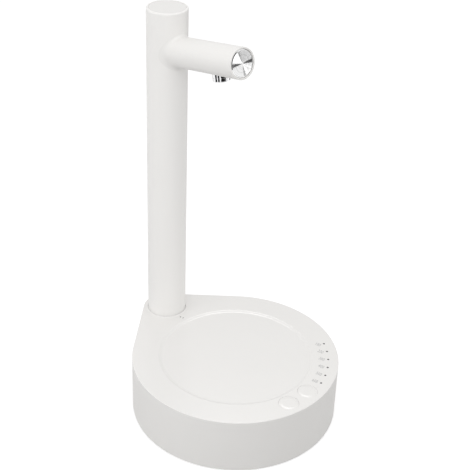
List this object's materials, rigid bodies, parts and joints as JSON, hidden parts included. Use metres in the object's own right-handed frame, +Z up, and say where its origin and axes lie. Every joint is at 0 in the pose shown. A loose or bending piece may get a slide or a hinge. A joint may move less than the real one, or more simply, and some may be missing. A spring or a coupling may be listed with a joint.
{
  "type": "tabletop water pump",
  "caption": "Tabletop electric water pump: a round white base with a cup tray and push buttons, a column behind it and a tilted spout with a nozzle over the tray.",
  "frame": {"origin": "on the table, under the centre of the round tray", "axes": "+Z up, +Y towards the column, so -Y is the side with the push buttons"},
  "size_m": [0.182, 0.208, 0.346],
  "materials": {
    "white_plastic": "satin",
    "cover_plastic": "fine texture",
    "inner_plastic": "moulded",
    "black_plastic": "moulded",
    "grey_window": "smoked",
    "rubber": "matt",
    "foot_rubber": "matt",
    "silicone": "translucent",
    "board": "solder mask",
    "lamp": "clear",
    "steel": "plain",
    "can_steel": "zinc plated",
    "chrome": "polished",
    "spun_metal": "spun",
    "cell": "shrink sleeve",
    "magnet": "ferrite",
    "winding": "enamelled copper",
    "bronze": "sintered",
    "gear_plastic": "acetal",
    "lead": "sleeve"
  },
  "bodies": {
    "base": {"base_shell": "white_plastic", "bottom_cover": "cover_plastic", "foot_ring": "foot_rubber", "cover_screws": "steel", "column_socket": "inner_plastic", "socket_screws": "steel", "light_guide": "grey_window", "control_board": "board", "indicator_lamps": "lamp", "switch_bodies": "black_plastic", "lead_sockets": "inner_plastic", "board_screws": "steel", "charge_socket": "steel", "charge_board": "board", "battery_cells": "cell", "battery_tray": "black_plastic", "battery_strap": "black_plastic", "bracket_screws": "steel", "pump_body": "inner_plastic", "pump_gasket": "rubber", "pump_end_plate": "inner_plastic", "pump_screws": "steel", "motor_can": "can_steel", "motor_end_cap": "black_plastic", "motor_magnets": "magnet", "shaft_bushes": "bronze", "shaft_seal": "rubber", "idler_pin": "steel", "pump_cradle": "inner_plastic", "pump_damper": "rubber", "pump_clamp": "inner_plastic", "inlet_fitting": "inner_plastic", "inlet_nut": "steel", "inlet_seal": "rubber", "suction_hose": "silicone", "outlet_hose": "silicone", "motor_leads": "lead", "battery_leads": "lead", "charge_leads": "lead"},
    "column": {"column_tube": "white_plastic", "column_cap": "white_plastic", "column_foot": "inner_plastic", "foot_seal": "rubber", "riser_hose": "silicone", "spout_elbow": "inner_plastic", "arm_tube": "white_plastic", "arm_hose": "silicone", "nozzle_holder": "inner_plastic", "nozzle_body": "chrome", "flow_straightener": "inner_plastic", "end_plug": "inner_plastic", "end_disc": "spun_metal"},
    "left_button": {"left_button": "white_plastic", "left_plunger": "black_plastic"},
    "right_button": {"right_button": "white_plastic", "right_plunger": "black_plastic"},
    "pump_drive": {"motor_shaft": "steel", "armature": "winding", "drive_gear": "gear_plastic"},
    "pump_idler": {"idler_gear": "gear_plastic"}
  },
  "joints": [
    {"name": "column_twist", "type": "hinge", "parent": "base", "child": "column", "pos_m": [0, 0.0955, 0.0525], "axis": [0, 0, 1], "range_deg": [0, 30]},
    {"name": "left_button_press", "type": "slide", "parent": "base", "child": "left_button", "axis": [0, 0, -1], "range_m": [0, 0.0005], "stiffness_N_per_m": 2000, "springref_m": -0.0003},
    {"name": "right_button_press", "type": "slide", "parent": "base", "child": "right_button", "axis": [0, 0, -1], "range_m": [0, 0.0005], "stiffness_N_per_m": 2000, "springref_m": -0.0003},
    {"name": "pump_drive_spin", "type": "hinge", "parent": "base", "child": "pump_drive", "pos_m": [0.025, -0.004, 0.02], "axis": [0, 1, 0], "continuous": true},
    {"name": "pump_idler_spin", "type": "hinge", "parent": "base", "child": "pump_idler", "pos_m": [0.025, -0.004, 0.0321], "axis": [0, 1, 0], "continuous": true}
  ],
  "couplings": [
    {"joint": "pump_idler_spin", "follows": "pump_drive_spin", "ratio": -1}
  ]
}
